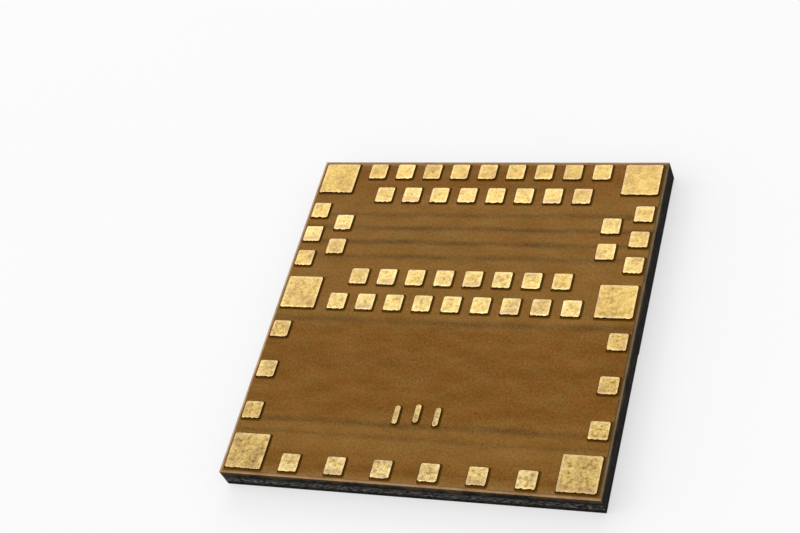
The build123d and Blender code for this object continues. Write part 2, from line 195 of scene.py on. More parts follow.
def makeGold(look):
    # Electroplated gold over matt nickel: a soft yellow metal, mottled light and dark like fine
    # sandpaper with painted highlight and shade on its grains, more so on the lands of the near end
    material, add, surface, place = startMaterial("electroplated gold", Metallic=1.0)
    # The land tree has stored these on every land
    chance, fromMiddle, fromNear, fromEdge = (
        add("ShaderNodeAttribute", attribute_name=name).outputs["Fac"]
        for name in ("landChance", "fromMiddle", "fromNear", "fromEdge"))
    grain = add("ShaderNodeTexNoise",
                {"Vector": place, "Scale": 1 / look["grain"], "Detail": 4.0, "Roughness": 0.65})
    fine = add("ShaderNodeTexNoise", {"Vector": place, "Scale": 1 / look["fineGrain"], "Detail": 2.0})
    patch = add("ShaderNodeTexNoise",
                {"Vector": place, "Scale": 1 / look["patch"], "Detail": 3.0, "Roughness": 0.6})
    tarnish = add("ShaderNodeMapRange",
                  {"Value": patch, "From Min": 0.48, "From Max": 0.7, "To Max": look["tarnishMost"]})
    plated = add("ShaderNodeMix",
                 {"Factor": tarnish, "A": linear(look["base"]), "B": linear(look["tarnish"])},
                 data_type="RGBA")
    paleness = add("ShaderNodeMapRange",
                   {"Value": chance, "From Min": 0.4, "From Max": 1.0, "To Max": look["paleMost"]})
    dealt = add("ShaderNodeMix", {"Factor": paleness, "A": plated, "B": linear(look["pale"])},
                data_type="RGBA")
    level = add("ShaderNodeMapRange", {"Value": grain, "From Min": 0.33, "From Max": 0.67})
    mottle = add("ShaderNodeValToRGB", {"Fac": level})
    setStops(mottle, look, [(0.0, "dull"), (0.5, "base"), (1.0, "bright")])
    parts = add("ShaderNodeSeparateXYZ", {"Vector": place}).outputs
    start, end = look["grainPlaces"]
    share = add("ShaderNodeMapRange",
                {"Value": parts["Y"], "From Min": start, "From Max": end, "To Min": look["nearGrain"],
                 "To Max": look["farGrain"]})
    # The grain lightens or darkens whatever shade lies under it
    grainGain = add("ShaderNodeVectorMath", {0: mottle, 1: linear(look["base"])[:3]}, operation="DIVIDE")
    shared = add("ShaderNodeMix", {"Factor": share, "A": (1, 1, 1), "B": grainGain}, data_type="VECTOR")
    grained = add("ShaderNodeVectorMath", {0: dealt, 1: shared}, operation="MULTIPLY")
    dot = add("ShaderNodeMapRange",
              {"Value": fromMiddle, "From Min": look["probeCore"] * look["probeDot"],
               "From Max": look["probeDot"], "To Min": look["probeShare"], "To Max": 0.0})
    viaChance = otherChance(add, chance, viaShuffle)
    probed = add("ShaderNodeMath", {0: viaChance, 1: viaLeast}, operation="GREATER_THAN")
    dotted = add("ShaderNodeMath", {0: dot, 1: probed}, operation="MULTIPLY")
    marked = add("ShaderNodeMix", {"Factor": dotted, "A": grained, "B": linear(look["dull"])},
                 data_type="RGBA")
    # The rub fades away from the near edge, with a ragged end, and only pale lands have it
    ragged = add("ShaderNodeMath", {0: fine, 1: look["rubbedReach"]}, operation="MULTIPLY")
    raggedEnd = add("ShaderNodeMath", {0: fromNear, 1: ragged}, operation="ADD")
    nearSide = add("ShaderNodeMapRange",
                   {"Value": raggedEnd, "From Min": look["rubbedReach"],
                    "From Max": look["rubbedFade"] * look["rubbedReach"], "To Min": look["rubbedShare"],
                    "To Max": 0.0})
    rubChance = otherChance(add, chance, rubShuffle)
    isRubbed = add("ShaderNodeMath", {0: rubChance, 1: rubLeast}, operation="GREATER_THAN")
    isPale = add("ShaderNodeMath", {0: chance, 1: look["rubbedLeast"]}, operation="GREATER_THAN")
    both = add("ShaderNodeMath", {0: isRubbed, 1: isPale}, operation="MULTIPLY")
    rub = add("ShaderNodeMath", {0: nearSide, 1: both}, operation="MULTIPLY")
    worn = add("ShaderNodeMix", {"Factor": rub, "A": marked, "B": linear(look["rubbed"])}, data_type="RGBA")
    spread = add("ShaderNodeMapRange",
                 {"Value": chance, "To Min": 1 - look["landSpread"], "To Max": 1 + look["landSpread"]})
    # Painted shade: the lands grow darker towards the near end, where less light falls
    start, end = look["shadePlaces"]
    tone = add("ShaderNodeMapRange",
               {"Value": parts["Y"], "From Min": start, "From Max": end, "To Min": look["nearShade"]})
    # Painted highlight: the lands are brighter and creamier along their edges
    edge = add("ShaderNodeMapRange",
               {"Value": fromEdge, "From Max": look["edgeWidth"], "To Min": look["edgeHighlightGain"]})
    creamyEdgeHighlight = add("ShaderNodeMapRange",
                     {"Value": fromEdge, "From Max": look["edgeWidth"], "To Min": look["rimHighlightShare"],
                      "To Max": 0.0})
    highlighted = add("ShaderNodeMix", {"Factor": creamyEdgeHighlight, "A": worn, "B": linear(look["rim"])},
                 data_type="RGBA")
    patchGain = add("ShaderNodeMapRange",
                    {"Value": patch, **narrowRange, "To Min": 1 + look["patchSpread"],
                     "To Max": 1 - look["patchSpread"]})
    toned = add("ShaderNodeMath", {0: spread, 1: tone}, operation="MULTIPLY")
    patched = add("ShaderNodeMath", {0: toned, 1: patchGain}, operation="MULTIPLY")
    gain = add("ShaderNodeMath", {0: patched, 1: edge}, operation="MULTIPLY")
    gained = add("ShaderNodeVectorMath", {0: highlighted, "Scale": gain}, operation="SCALE")
    capped = add("ShaderNodeVectorMath", {0: gained, 1: [look["lightest"]] * 3}, operation="MINIMUM")
    # Painted shade: each land's sides are dark below its rolled edge
    onTop = add("ShaderNodeMapRange",
                {"Value": parts["Z"], "From Min": look["flankDeep"], "From Max": look["flankTop"]})
    colour = add("ShaderNodeMix", {"Factor": onTop, "A": linear(look["flankShade"]), "B": capped},
                 data_type="RGBA")
    rough = add("ShaderNodeMapRange",
                {"Value": fine, **wideRange, "To Min": look["smoothest"], "To Max": look["roughest"]})
    pits = add("ShaderNodeMath", {0: grain, 1: fine}, operation="ADD")
    bump = add("ShaderNodeBump", {"Height": pits, "Distance": look["grainHeight"]})
    drive(surface, Base_Color=colour, Roughness=rough, Normal=bump)
    return material


landLook = {
    "etch": 0.001 * mm,  # how far the etched outline wanders in from the drawn one
    "etchSize": 0.09 * mm,
    "etchReach": 0.06 * mm,  # how far in from an edge the etch moves the plating
    "bite": 0.018 * mm,  # how far it has eaten into the near edge at most
    "biteSize": 0.07 * mm,
    "cornerRadius": 0.04 * mm,
    "barCornerRadius": 0.05 * mm,  # the bars end almost round
    "edgeRadius": 0.009 * mm,
    "relief": 0.008 * mm,
    "reliefSize": 0.12 * mm,
    "flatRim": 0.02 * mm,  # the relief and the dimples have their full depth this far in
    "dimpleRadius": 0.07 * mm,
    "dimpleDepth": 0.004 * mm,
    # Each land is dealt a chance from 0, tan and dull, to 1, pale and bright, and some rows
    # keep to a part of it
    "chances": {
        "anchor_lands": (0.15, 0.6),
        "far_outer_lands": (0.0, 0.7),
        "far_inner_lands": (0.5, 1.0),
        "middle_inner_lands": (0.45, 1.0),
        "side_inner_lands": (0.5, 1.0),
        "near_side_lands": (0.0, 0.6),
        "middle_outer_lands": (0.75, 1.0),
        "near_row_lands": (0.8, 1.0),
        "tuning_bars": (0.0, 0.15),
    },
    "seed": 5,
    "largeCells": (40, 40),
    "smallCells": (26, 26),
    "barCells": (14, 30),
}


def makeLandTree(look):
    # One land is a cube whose grid crowds to its edges, whose corners are rounded in plan
    # and whose top edge is rolled over. It stands on every point of the mesh that comes in.
    tree = bpy.data.node_groups.new("landField", "GeometryNodeTree")
    tree.is_modifier = True
    tree.interface.new_socket("Geometry", in_out="OUTPUT", socket_type="NodeSocketGeometry")
    tree.interface.new_socket("Places", in_out="INPUT", socket_type="NodeSocketGeometry")
    for name in ("Width", "Length", "Height", "Corner Radius", "Edge Radius", "Relief", "Wander", "Bite",
                 "Dimple Radius", "Dimple Depth", "Least Chance", "Most Chance"):
        tree.interface.new_socket(name, in_out="INPUT", socket_type="NodeSocketFloat")
    for name in ("Width Cells", "Length Cells", "Seed"):
        tree.interface.new_socket(name, in_out="INPUT", socket_type="NodeSocketInt")
    tree.interface.new_socket("Finish", in_out="INPUT", socket_type="NodeSocketMaterial")
    add = partial(addNode, tree)
    given = add("NodeGroupInput").outputs
    cornersX = add("ShaderNodeMath", {0: given["Width Cells"], 1: 1.0}, operation="ADD")
    cornersY = add("ShaderNodeMath", {0: given["Length Cells"], 1: 1.0}, operation="ADD")
    cube = add("GeometryNodeMeshCube",
               {"Size": (1, 1, 1), "Vertices X": cornersX, "Vertices Y": cornersY, "Vertices Z": 2})
    at = add("GeometryNodeInputPosition")
    size = add("ShaderNodeCombineXYZ", {"X": given["Width"], "Y": given["Length"]})
    half = add("ShaderNodeVectorMath", {0: size, "Scale": 0.5}, operation="SCALE")
    # The grid crowds to the edges, where the roll needs its faces
    angle = add("ShaderNodeVectorMath", {0: at, "Scale": math.pi}, operation="SCALE")
    sine = add("ShaderNodeVectorMath", {0: angle}, operation="SINE")
    spread = add("ShaderNodeVectorMath", {0: sine, 1: half}, operation="MULTIPLY")
    # Rounded corners in plan
    radius = add("ShaderNodeCombineXYZ", {"X": given["Corner Radius"], "Y": given["Corner Radius"]})
    inner = add("ShaderNodeVectorMath", {0: half, 1: radius}, operation="SUBTRACT")
    outer = add("ShaderNodeVectorMath", {0: inner, "Scale": -1.0}, operation="SCALE")
    low = add("ShaderNodeVectorMath", {0: spread, 1: inner}, operation="MINIMUM")
    held = add("ShaderNodeVectorMath", {0: low, 1: outer}, operation="MAXIMUM")
    past = add("ShaderNodeVectorMath", {0: spread, 1: held}, operation="SUBTRACT")
    pastSize = add("ShaderNodeVectorMath", {0: past}, operation="ABSOLUTE")
    pastXY = add("ShaderNodeSeparateXYZ", {0: pastSize}).outputs
    square = add("ShaderNodeMath", {0: pastXY["X"], 1: pastXY["Y"]}, operation="MAXIMUM")
    reach = add("ShaderNodeVectorMath", {0: past}, operation="LENGTH")
    ratio = add("ShaderNodeMath", {0: square, 1: reach}, operation="DIVIDE")
    rounded = add("ShaderNodeVectorMath", {0: past, "Scale": ratio}, operation="SCALE")
    plan = add("ShaderNodeVectorMath", {0: held, 1: rounded}, operation="ADD")
    # How far each point lies from the outline
    spreadSize = add("ShaderNodeVectorMath", {0: spread}, operation="ABSOLUTE")
    inward = add("ShaderNodeVectorMath", {0: half, 1: spreadSize}, operation="SUBTRACT")
    inwardXY = add("ShaderNodeSeparateXYZ", {0: inward}).outputs
    depth = add("ShaderNodeMath", {0: inwardXY["X"], 1: inwardXY["Y"]}, operation="MINIMUM")
    # The roll: a quarter of a circle at the top edge
    short = add("ShaderNodeMath", {0: given["Edge Radius"], 1: depth}, operation="SUBTRACT")
    kept = add("ShaderNodeMath", {0: short, 1: 0.0}, operation="MAXIMUM")
    keptSquare = add("ShaderNodeMath", {0: kept, 1: kept}, operation="MULTIPLY")
    edgeSquare = add("ShaderNodeMath", {0: given["Edge Radius"], 1: given["Edge Radius"]},
                     operation="MULTIPLY")
    legSquare = add("ShaderNodeMath", {0: edgeSquare, 1: keptSquare}, operation="SUBTRACT")
    legKept = add("ShaderNodeMath", {0: legSquare, 1: 0.0}, operation="MAXIMUM")
    leg = add("ShaderNodeMath", {0: legKept}, operation="SQRT")
    drop = add("ShaderNodeMath", {0: given["Edge Radius"], 1: leg}, operation="SUBTRACT")
    topHeight = add("ShaderNodeMath", {0: given["Height"], 1: drop}, operation="SUBTRACT")
    planXY = add("ShaderNodeSeparateXYZ", {0: plan}).outputs
    level = add("ShaderNodeSeparateXYZ", {0: at}).outputs["Z"]
    isTop = add("ShaderNodeMath", {0: level, 1: 0.5}, operation="ADD")
    height = add("ShaderNodeMath", {0: isTop, 1: topHeight}, operation="MULTIPLY")
    shaped = add("ShaderNodeCombineXYZ", {"X": planXY["X"], "Y": planXY["Y"], "Z": height})
    # The gold and the wear below need to know how far each point lies from edge and middle
    middleReach = add("ShaderNodeVectorMath", {0: plan}, operation="LENGTH")
    fromCorner = add("ShaderNodeVectorMath", {0: spread, 1: half}, operation="ADD")
    pastNear = add("ShaderNodeSeparateXYZ", {0: fromCorner}).outputs["Y"]
    marked = cube
    for name, value in (("fromEdge", depth), ("fromMiddle", middleReach), ("fromNear", pastNear)):
        marked = add("GeometryNodeStoreNamedAttribute",
                     {"Geometry": marked, "Name": name, "Value": value}, data_type="FLOAT")
    land = add("GeometryNodeSetPosition", {"Geometry": marked, "Position": shaped})
    field = add("GeometryNodeInstanceOnPoints", {"Points": given["Places"], "Instance": land})
    deal = add("FunctionNodeRandomValue",
               {"Min": given["Least Chance"], "Max": given["Most Chance"], "Seed": given["Seed"]},
               data_type="FLOAT")
    dealt = add("GeometryNodeStoreNamedAttribute",
                {"Geometry": field, "Name": "landChance", "Value": deal}, data_type="FLOAT",
                domain="INSTANCE")
    real = add("GeometryNodeRealizeInstances", {"Geometry": dealt})
    fromEdge, fromNear, fromMiddle, chance = (
        add("GeometryNodeInputNamedAttribute", {"Name": name}, data_type="FLOAT")
        for name in ("fromEdge", "fromNear", "fromMiddle", "landChance"))
    # The etched outline wanders a little and the top dips a little. A noise swings by a half each
    # way, so at the edge it is doubled to reach as far as it should.
    flat = add("ShaderNodeVectorMath", {0: at, 1: (1, 1, 0)}, operation="MULTIPLY")
    ragged = add("ShaderNodeTexNoise", {"Vector": flat, "Scale": 1 / look["etchSize"], "Detail": 3.0})
    swing = add("ShaderNodeVectorMath", {0: ragged.outputs["Color"], 1: [0.5] * 3}, operation="SUBTRACT")
    nearEdge = add("ShaderNodeMapRange",
                   {"Value": fromEdge, "From Max": look["etchReach"], "To Min": 2.0, "To Max": 0.0})
    push = add("ShaderNodeMath", {0: nearEdge, 1: given["Wander"]}, operation="MULTIPLY")
    sideways = add("ShaderNodeVectorMath", {0: swing, "Scale": push}, operation="SCALE")
    sidewaysXY = add("ShaderNodeSeparateXYZ", {0: sideways}).outputs
    # The etch has bitten the near edge the most
    bitten = add("ShaderNodeMapRange",
                 {"Value": fromNear, "From Max": look["etchReach"], "To Min": given["Bite"], "To Max": 0.0})
    bites = add("ShaderNodeTexNoise", {"Vector": flat, "Scale": 1 / look["biteSize"], "Detail": 3.0})
    teeth = add("ShaderNodeMapRange", {"Value": bites, "From Min": 0.45, "From Max": 0.62})
    bite = add("ShaderNodeMath", {0: teeth, 1: bitten}, operation="MULTIPLY")
    shiftY = add("ShaderNodeMath", {0: sidewaysXY["Y"], 1: bite}, operation="ADD")
    dip = add("ShaderNodeTexNoise", {"Vector": flat, "Scale": 1 / look["reliefSize"], "Detail": 2.0})
    sinking = add("ShaderNodeMapRange", {"Value": fromEdge, "From Max": look["flatRim"], "To Max": -1.0})
    dipSize = add("ShaderNodeMath", {0: dip, 1: given["Relief"]}, operation="MULTIPLY")
    sunk = add("ShaderNodeMath", {0: dipSize, 1: sinking}, operation="MULTIPLY")
    # About half of the lands show the dimple of a filled via at their middle
    hollow = add("ShaderNodeMapRange",
                 {"Value": fromMiddle, "From Max": given["Dimple Radius"], "To Min": given["Dimple Depth"],
                  "To Max": 0.0}, interpolation_type="SMOOTHSTEP")
    viaChance = otherChance(add, chance, viaShuffle)
    hasVia = add("ShaderNodeMath", {0: viaChance, 1: viaLeast}, operation="GREATER_THAN")
    dimple = add("ShaderNodeMath", {0: hollow, 1: hasVia}, operation="MULTIPLY")
    dimpled = add("ShaderNodeMath", {0: dimple, 1: sinking}, operation="MULTIPLY")
    lowered = add("ShaderNodeMath", {0: sunk, 1: dimpled}, operation="ADD")
    shift = add("ShaderNodeCombineXYZ", {"X": sidewaysXY["X"], "Y": shiftY, "Z": lowered})
    worn = add("GeometryNodeSetPosition", {"Geometry": real, "Offset": shift})
    smooth = add("GeometryNodeSetShadeSmooth", {"Geometry": worn})
    finished = add("GeometryNodeSetMaterial", {"Geometry": smooth, "Material": given["Finish"]})
    add("NodeGroupOutput", {"Geometry": finished})
    return tree


def islands(node):
    # The box of each separate land in a CAD node, in the order of their places
    mesh = mergedMesh(node)
    boxes = []
    for start in mesh.verts:
        if start.tag:
            continue
        start.tag = True
        island = [start]
        for vert in island:  # grows while it is read
            for edge in vert.link_edges:
                other = edge.other_vert(vert)
                if not other.tag:
                    other.tag = True
                    island.append(other)
        low = [min(v.co[i] for v in island) for i in range(3)]
        high = [max(v.co[i] for v in island) for i in range(3)]
        boxes.append((low, high))
    mesh.free()
    return sorted(boxes, key=lambda box: [round(c / mm, 3) for c in box[0]])


def growLands(node, cells, look):
    # A rolled, grainy land on the place of each one in the CAD node
    boxes = islands(node)
    low, high = boxes[0]
    places = bpy.data.meshes.new("places")
    places.from_pydata([((l[0] + h[0]) / 2, (l[1] + h[1]) / 2, l[2]) for l, h in boxes], [], [])
    seed = putInScene("places", places)
    width, length, height = (high[i] - low[i] for i in range(3))
    corner = look["barCornerRadius" if node.endswith("_bars") else "cornerRadius"]
    leastChance, mostChance = look["chances"].get(node, (0.0, 1.0))
    values = {
        "Width": width - 2 * look["etch"],
        "Length": length - 2 * look["etch"],
        "Height": height,
        "Corner Radius": min(corner, width / 2 - look["etch"]),
        "Edge Radius": look["edgeRadius"],
        "Relief": look["relief"],
        "Wander": look["etch"],
        "Bite": look["bite"],
        "Dimple Radius": look["dimpleRadius"],
        "Dimple Depth": look["dimpleDepth"],
        "Least Chance": leastChance,
        "Most Chance": mostChance,
        "Width Cells": cells[0],
        "Length Cells": cells[1],
        "Seed": look["seed"],
        "Finish": gold,
    }
    modifier = seed.modifiers.new("lands", "NODES")
    modifier.node_group = landTree
    for item in landTree.interface.items_tree:
        if item.in_out == "INPUT" and item.name in values:
            modifier[item.identifier] = values[item.name]
    grown = bpy.data.meshes.new_from_object(seed.evaluated_get(bpy.context.evaluated_depsgraph_get()))
    piece = putInScene("gold_" + node, grown)
    bpy.data.objects.remove(seed)
    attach(piece, "root")
    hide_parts(node)


gold = makeGold(goldLook)
landTree = makeLandTree(landLook)
smallRows = [n for n in sorted(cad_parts) if n.endswith("_lands") and n != "anchor_lands"]
growLands("anchor_lands", landLook["largeCells"], landLook)
growLands("tuning_bars", landLook["barCells"], landLook)
for node in smallRows:
    growLands(node, landLook["smallCells"], landLook)
print("lands grown on", len(smallRows) + 2, "nodes")

# Brown resist
resistLook = {
    "worn": "#937249",  # pale towards the near and far edges
    "olive": "#895F23",  # over copper
    "amber": "#805314",  # over bare laminate, as above the antenna
    # Where each tint lies along Y, in mm
    "tints": [(-4.0, "worn"), (-3.88, "olive"), (-3.7, "amber"), (-3.25, "olive"), (-2.85, "olive"),
              (-2.4, "amber"), (-0.55, "amber"), (-0.1, "olive"), (2.9, "olive"), (3.3, "amber"),
              (3.88, "amber"), (3.93, "worn")],
    # Yarns of the glass cloth that show through as dark bands: place along Y and half width,
    # both in mm, and strength
    "bands": [(-3.72, 0.12, 0.3), (-3.0, 0.09, 0.55), (-2.69, 0.12, 0.8), (-1.3, 0.2, 0.12),
              (-0.25, 0.13, 0.75), (1.4, 0.12, 0.75), (1.77, 0.11, 0.95), (2.15, 0.11, 0.95),
              (2.52, 0.11, 0.65)],
    "shade": "#5E4318",
    "sway": (1.6 * mm, 0.4 * mm),  # length and width of the waves that tints and bands have
    "swayMost": 0.03 * mm,
    "gap": (1.1 * mm, 0.5 * mm),  # length and width of the breaks in the bands
    "gapShare": 0.45,  # what is left of a band in a break
    "streak": (0.8 * mm, 0.3 * mm),  # length and width of the soft streaks along X
    "streakSpread": 0.11,
    "veil": "#826C47",  # what a streak or a grain adds or takes away
    "warm": "#925A22",  # clouds, where the film is thinner over the glass
    "green": "#6F6026",  # clouds, where it is thicker
    "cloud": 0.3 * mm,
    "cloudMost": 0.2,
    "grain": 0.042 * mm,
    "fibre": 0.052 * mm,
    "grainSpread": 0.24,
    "grainHeight": 0.0012 * mm,
    "bandHeight": 0.003 * mm,
    # The film is printed a little out of register, so its windows reach further past the lands
    # to the right and to the near side, and a dark line of shadow and painted shade shows there
    "slip": 0.032 * mm,
    "windowReach": 0.02 * mm,  # a window's edge lies within this of its land
}


def rampPlace(y):
    # Where a Y in mm lies on a ramp from the near edge to the far one
    return y * mm / (2 * halfSide) + 0.5


def makeResist(look):
    # Cured epoxy solder resist: a satin amber-brown film, cloudy and faintly banded by the cloth below
    material, add, surface, place = startMaterial(
        "amber epoxy resist", IOR=1.5, Specular_IOR_Level=0.12, Roughness=0.5)
    waves = drawnNoise(add, place, look["sway"], 3.0)
    wave = add("ShaderNodeMapRange",
               {"Value": waves, **wideRange, "To Min": -look["swayMost"], "To Max": look["swayMost"]})
    along = add("ShaderNodeSeparateXYZ", {"Vector": place}).outputs["Y"]
    swayed = add("ShaderNodeMath", {0: along, 1: wave}, operation="ADD")
    level = add("ShaderNodeMapRange", {"Value": swayed, "From Min": -halfSide, "From Max": halfSide})
    tint = add("ShaderNodeValToRGB", {"Fac": level})
    setStops(tint, look, [(rampPlace(y), shade) for y, shade in look["tints"]])
    bands = add("ShaderNodeValToRGB", {"Fac": level})
    stops = []
    for y, halfWidth, strength in look["bands"]:
        for step, share in ((-1, 0), (0, strength), (1, 0)):
            stops.append((rampPlace(y + step * halfWidth), (share, share, share, 1)))
    setStops(bands, look, stops)
    bands.color_ramp.interpolation = "EASE"
    breaks = drawnNoise(add, place, look["gap"], 4.0, 0.65)
    breakShare = add("ShaderNodeMapRange", {"Value": breaks, **narrowRange, "To Min": look["gapShare"]})
    banded = add("ShaderNodeMath", {0: bands, 1: breakShare}, operation="MULTIPLY")
    dark = add("ShaderNodeMix", {"Factor": banded, "A": tint, "B": linear(look["shade"])}, data_type="RGBA")
    clouds = add("ShaderNodeTexNoise", {"Vector": place, "Scale": 1 / look["cloud"], "Detail": 3.0})
    warmth = add("ShaderNodeMapRange",
                 {"Value": clouds, "From Min": 0.5, "From Max": 0.7, "To Max": look["cloudMost"]})
    warmed = add("ShaderNodeMix", {"Factor": warmth, "A": dark, "B": linear(look["warm"])},
                 data_type="RGBA")
    greenness = add("ShaderNodeMapRange",
                    {"Value": clouds, "From Min": 0.5, "From Max": 0.3, "To Max": look["cloudMost"]})
    clouded = add("ShaderNodeMix", {"Factor": greenness, "A": warmed, "B": linear(look["green"])},
                  data_type="RGBA")
    # The fibres show through the film, and the grain is the matting powder in it
    fibres = drawnNoise(add, place, [look["fibre"]] * 2, 2.0)
    grain = add("ShaderNodeTexNoise",
                {"Vector": place, "Scale": 1 / look["grain"], "Detail": 2.0, "Roughness": 0.6})
    mottle = add("ShaderNodeMath", {0: fibres, 1: grain}, operation="ADD")
    gain = add("ShaderNodeMapRange",
               {"Value": mottle, "From Min": 0.6, "From Max": 1.4, "To Min": 1 - look["grainSpread"],
                "To Max": 1 + look["grainSpread"]})
    streaks = drawnNoise(add, place, look["streak"], 2.5, 0.55)
    streakGain = add("ShaderNodeMapRange",
                     {"Value": streaks, **wideRange, "To Min": 1 - look["streakSpread"],
                      "To Max": 1 + look["streakSpread"]})
    shading = add("ShaderNodeMath", {0: gain, 1: streakGain}, operation="MULTIPLY")
    change = add("ShaderNodeMath", {0: shading, 1: 1.0}, operation="SUBTRACT")
    veil = add("ShaderNodeVectorMath", {0: linear(look["veil"])[:3], "Scale": change}, operation="SCALE")
    veiled = add("ShaderNodeVectorMath", {0: clouded, 1: veil}, operation="ADD")
    colour = add("ShaderNodeVectorMath", {0: veiled, 1: [0.0] * 3}, operation="MAXIMUM")
    coarse = add("ShaderNodeBump", {"Height": bands, "Distance": -look["bandHeight"]})
    bump = add("ShaderNodeBump", {"Height": grain, "Distance": look["grainHeight"], "Normal": coarse})
    drive(surface, Base_Color=colour, Normal=bump)
    return material


def slipWindows(node, look):
    # The film of the CAD node, with the right and near edges of every window moved out
    mesh = mergedMesh(node)
    landNodes = [n for n in sorted(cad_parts) if n.endswith(("_lands", "_bars"))]
    boxes = [box for landNode in landNodes for box in islands(landNode)]
    reach = look["windowReach"]
    for vert in mesh.verts:
        x, y = vert.co.xy
        for low, high in boxes:
            if low[0] - reach < x < high[0] + reach and low[1] - reach < y < high[1] + reach:
                if x > (low[0] + high[0]) / 2:
                    vert.co.x += look["slip"]
                if y < (low[1] + high[1]) / 2:
                    vert.co.y -= look["slip"]
    film = bpy.data.meshes.new("film")
    mesh.to_mesh(film)
    mesh.free()
    film.materials.append(resist)
    piece = putInScene("printed_resist", film)
    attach(piece, "root")
    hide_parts(node)
    print("resist printed,", len(film.polygons), "faces")


resist = makeResist(resistLook)
slipWindows("land_side_resist", resistLook)

# Laminate
laminateLook = {
    "rim": "#AC895F",
    # The rim on the left and right sides has painted light and shade: lighter on the left, darker on the
    # right
    "litLeftRim": "#BB9F7C",
    "shadedRightRim": "#7D6A4E",
    "flaw": 0.35 * mm,  # size of the lighter and darker stretches of the rim and the cut
    "rimSpread": 0.22,
    "rimWander": 0.008 * mm,  # how far the lower edge of its line goes up and down
    "rimBlur": 0.012 * mm,
    "wellShade": "#6E4A08",  # painted shade, down in the windows of the resist
    "cut": "#0D0A07",
    "cutLight": "#453826",
    "cutLift": 0.35,  # how much lighter the cut is at its top, and in patches
    "resistEdge": 3.94 * mm,  # the resist ends here
    "resistBlur": 0.01 * mm,
    "topLayer": 0.502 * mm,  # the rim's pale line goes down the cut to here
    "mouldTop": 0.34 * mm,
    "ply": (0.5 * mm, 0.5 * mm, 0.045 * mm),  # along the cut, both ways, and up
    "fibre": 0.02 * mm,
    "fibreHeight": 0.003 * mm,
}


def makeLaminate(look):
    # Glass cloth in resin, sawn square: dark brown on the cut, with a pale line along its top edge,
    # and almost black with painted shade down in the resist windows
    material, add, surface, place = startMaterial(
        "sawn glass laminate", IOR=1.55, Specular_IOR_Level=0.06, Roughness=0.8)
    parts, out = outFromMiddle(add, place)
    grain = add("ShaderNodeTexNoise", {"Vector": place, "Scale": 1 / look["fibre"], "Detail": 2.0})
    layer = drawnNoise(add, place, look["ply"], 3.0)
    flaws = add("ShaderNodeTexNoise",
                {"Vector": place, "Scale": 1 / look["flaw"], "Detail": 4.0, "Roughness": 0.7})
    # The cut is lighter under its top edge and in patches, and nearly black where it meets the mould
    lift = add("ShaderNodeMapRange",
               {"Value": parts["Z"], "From Min": look["mouldTop"], "From Max": look["topLayer"],
                "To Min": -look["cutLift"], "To Max": look["cutLift"]})
    lifted = add("ShaderNodeMath", {0: layer, 1: lift}, operation="ADD")
    patches = add("ShaderNodeMapRange",
                  {"Value": flaws, **narrowRange, "To Min": -look["cutLift"], "To Max": look["cutLift"]})
    patched = add("ShaderNodeMath", {0: lifted, 1: patches}, operation="ADD")
    spread = add("ShaderNodeMapRange", {"Value": patched, "From Min": 0.25, "From Max": 0.85})
    cut = add("ShaderNodeMix", {"Factor": spread, "A": linear(look["cut"]), "B": linear(look["cutLight"])},
              data_type="RGBA")
    wander = add("ShaderNodeMapRange",
                 {"Value": grain, **wideRange, "To Min": -look["rimWander"], "To Max": look["rimWander"]})
    rimHeight = add("ShaderNodeMath", {0: parts["Z"], 1: wander}, operation="ADD")
    atRim = add("ShaderNodeMapRange",
                {"Value": rimHeight, "From Min": look["topLayer"],
                 "From Max": look["topLayer"] + look["rimBlur"]})
    # Painted light and shade on the side rims: lighter to the left, darker to the right
    sideways = add("ShaderNodeMath", {0: parts["X"], 1: parts["Y"]}, operation="GREATER_THAN")
    across = add("ShaderNodeSeparateXYZ", {"Vector": place}).outputs["X"]
    rightward = add("ShaderNodeMapRange", {"Value": across, "From Min": -halfSide, "From Max": halfSide})
    litAndShadedSideRim = add("ShaderNodeMix",
                  {"Factor": rightward, "A": linear(look["litLeftRim"]), "B": linear(look["shadedRightRim"])},
                  data_type="RGBA")
    evenRim = add("ShaderNodeMix", {"Factor": sideways, "A": linear(look["rim"]), "B": litAndShadedSideRim},
                  data_type="RGBA")
    rimGain = add("ShaderNodeMapRange",
                  {"Value": flaws, **narrowRange, "To Min": 1 - look["rimSpread"],
                   "To Max": 1 + look["rimSpread"]})
    rim = add("ShaderNodeVectorMath", {0: evenRim, "Scale": rimGain}, operation="SCALE")
    side = add("ShaderNodeMix", {"Factor": atRim, "A": cut, "B": rim}, data_type="RGBA")
    outside = add("ShaderNodeMapRange",
                  {"Value": out, "From Min": look["resistEdge"],
                   "From Max": look["resistEdge"] + look["resistBlur"]})
    colour = add("ShaderNodeMix", {"Factor": outside, "A": linear(look["wellShade"]), "B": side},
                 data_type="RGBA")
    bump = add("ShaderNodeBump", {"Height": grain, "Distance": look["fibreHeight"]})
    drive(surface, Base_Color=colour, Normal=bump)
    return material


# Mould
mouldLook = {
    "face": "#161617",
    "faceLight": "#2E2E30",
    "cut": "#080706",
    "cutLight": "#2E261C",  # resin dragged over the cut, in blotches
    "blotch": 0.14 * mm,
    "blotchMost": 0.7,
    "filler": "#7E7D7B",
    "grain": 0.042 * mm,
    "nearDustAndLight": 0.72,  # how much of the pale dust shows on the near side, where it is painted light as well as dust
    "dust": 0.05,
    # Dust shows along the middle of the cut and thins out at its top. Its foot is left bare and dark as
    # painted contact shade.
    "shadedFoot": (0.13 * mm, 0.17 * mm),
    "bareAbove": (0.22 * mm, 0.34 * mm),
    "topDust": 0.3,  # how much of it is left at the top
    "smear": 2.5,  # how much longer the specks of dust are along the cut
    "saw": (0.3 * mm, 0.3 * mm, 0.018 * mm),  # length of the saw's lines, both ways, and their width
    "faceGrain": 0.05 * mm,
    "cutHeight": 0.008 * mm,
    "faceHeight": 0.003 * mm,
    "faceRoughness": 0.5,
    "cutRoughness": 0.8,
}


